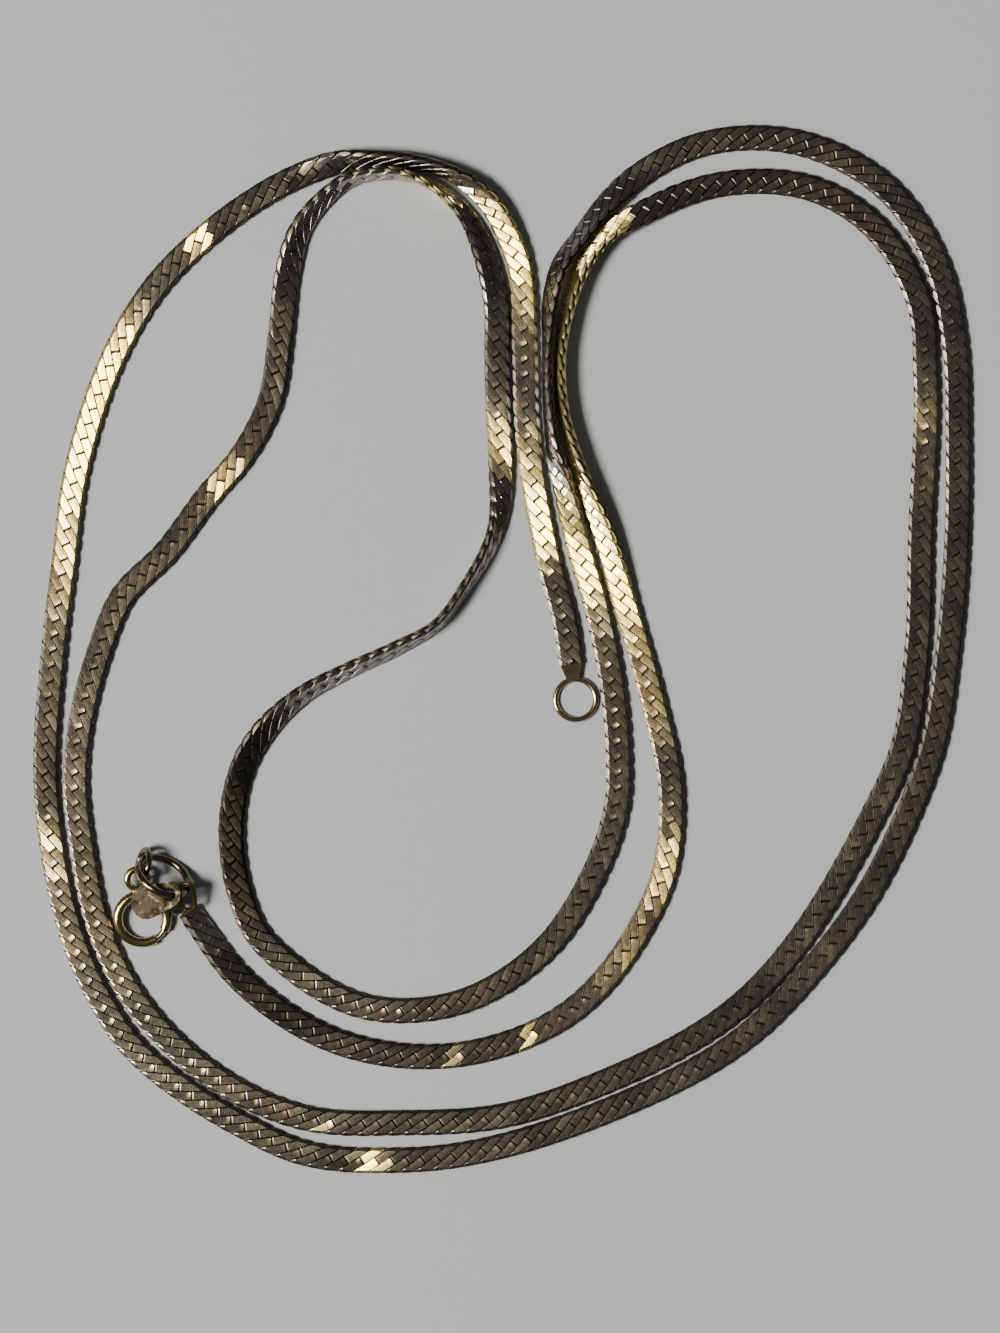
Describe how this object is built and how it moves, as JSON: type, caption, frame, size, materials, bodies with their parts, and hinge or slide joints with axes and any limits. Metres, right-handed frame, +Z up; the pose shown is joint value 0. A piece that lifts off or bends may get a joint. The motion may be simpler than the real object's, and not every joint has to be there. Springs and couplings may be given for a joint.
{
  "type": "herringbone chain",
  "caption": "Long flat herringbone chain lying open in loose loops, with a spring ring clasp, a bare tag and a plain end ring.",
  "frame": {"origin": "on the resting surface, under the middle of the laid-out chain", "axes": "+Z up from the resting surface, +Y towards the top of the two lobes, +X towards the larger right-hand lobe"},
  "size_m": [0.0732, 0.0818, 0.004],
  "materials": {
    "chain_gold": "polished yellow gold with dark tarnish between the links",
    "ring_gold": "polished yellow gold wire",
    "tag_gold": "worn, brownish gold",
    "clasp_gold": "polished yellow gold tube"
  },
  "bodies": {
    "chain": {"chain_outer_run": "chain_gold", "chain_inner_run": "chain_gold", "end_ring": "ring_gold", "clasp_end_loop": "ring_gold", "large_jump_ring": "ring_gold", "upright_jump_ring": "ring_gold", "tag": "tag_gold", "clasp_ring": "clasp_gold"},
    "bolt": {"clasp_bolt": "clasp_gold"}
  },
  "joints": [
    {"name": "bolt_slide_round", "type": "hinge", "parent": "chain", "child": "bolt", "pos_m": [-0.02805, -0.02103, 0.00067], "axis": [0.0173, -0.1433, 0.9895], "range_deg": [0, 40], "stiffness_Nm_per_rad": 0.0001, "springref_deg": -17.19}
  ]
}
